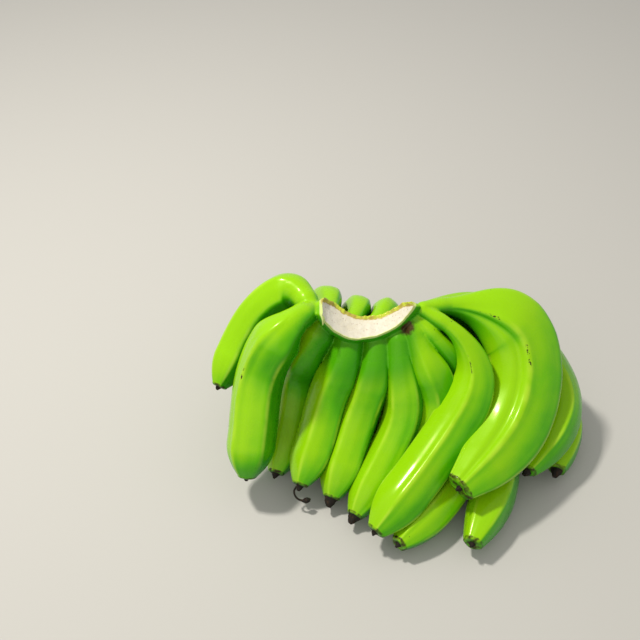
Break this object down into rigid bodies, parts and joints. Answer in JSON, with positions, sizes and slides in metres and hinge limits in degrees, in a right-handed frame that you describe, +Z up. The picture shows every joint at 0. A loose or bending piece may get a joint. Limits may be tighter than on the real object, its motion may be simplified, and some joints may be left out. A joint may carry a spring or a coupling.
{
  "type": "hand of bananas",
  "caption": "Hand of unripe green bananas: long curved fingers in two rows, grown together at a pale cut crown, lying on the backs of the rear fingers.",
  "frame": {"origin": "on the ground, under the middle of the hand's bounding box", "axes": "+Z up, +X to the right along the fan of fingers, -Y forward, the way the fingers bend; the crown's cut face looks up"},
  "size_m": [0.3528, 0.2273, 0.1654],
  "materials": {
    "green_peel": "smooth, glossy unripe peel; the crown's cut face is matt and cream, the dried flower ends are black"
  },
  "bodies": {
    "root": {"banana_hand": "green_peel"}
  },
  "joints": []
}
